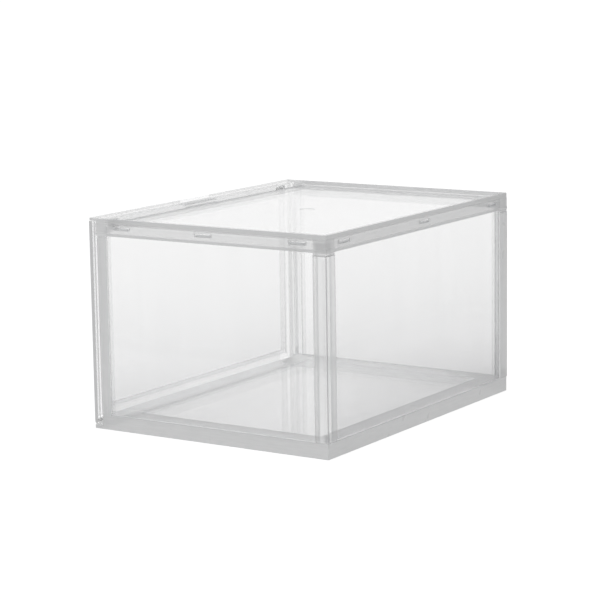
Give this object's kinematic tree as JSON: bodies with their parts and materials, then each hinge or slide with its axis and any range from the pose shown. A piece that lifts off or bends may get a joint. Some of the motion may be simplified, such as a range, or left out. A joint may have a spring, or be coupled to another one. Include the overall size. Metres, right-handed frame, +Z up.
{
  "type": "shoe box",
  "caption": "Clear rigid stacking shoe box: sheets held by corner posts between a base tray and a rimmed top, with a bottom-hinged drop-down front door.",
  "frame": {"origin": "centre of the underside, on the surface the box stands on", "axes": "+X along the width, +Y towards the closed back with the door at -Y, +Z up"},
  "size_m": [0.362, 0.2794, 0.215],
  "materials": {
    "frosted_plastic": "translucent satin polypropylene, slightly frosted",
    "clear_sheet": "clear glossy polystyrene sheet",
    "pin_steel": "plain drawn steel",
    "magnet_nickel": "nickel plated",
    "keeper_steel": "zinc plated"
  },
  "bodies": {
    "box": {"base_frame": "frosted_plastic", "floor_panel": "clear_sheet", "back_left_post": "frosted_plastic", "back_right_post": "frosted_plastic", "front_left_post": "frosted_plastic", "front_right_post": "frosted_plastic", "left_panel": "clear_sheet", "right_panel": "clear_sheet", "back_panel": "clear_sheet", "top_frame": "frosted_plastic", "top_panel": "clear_sheet", "left_keeper": "keeper_steel", "right_keeper": "keeper_steel"},
    "door": {"door_frame": "frosted_plastic", "door_pane": "clear_sheet", "left_hinge_pin": "pin_steel", "right_hinge_pin": "pin_steel", "left_door_magnet": "magnet_nickel", "right_door_magnet": "magnet_nickel"}
  },
  "joints": [
    {"name": "door_hinge", "type": "hinge", "parent": "box", "child": "door", "pos_m": [0, -0.137, 0.00785], "axis": [1, 0, 0], "range_deg": [0, 90]}
  ]
}
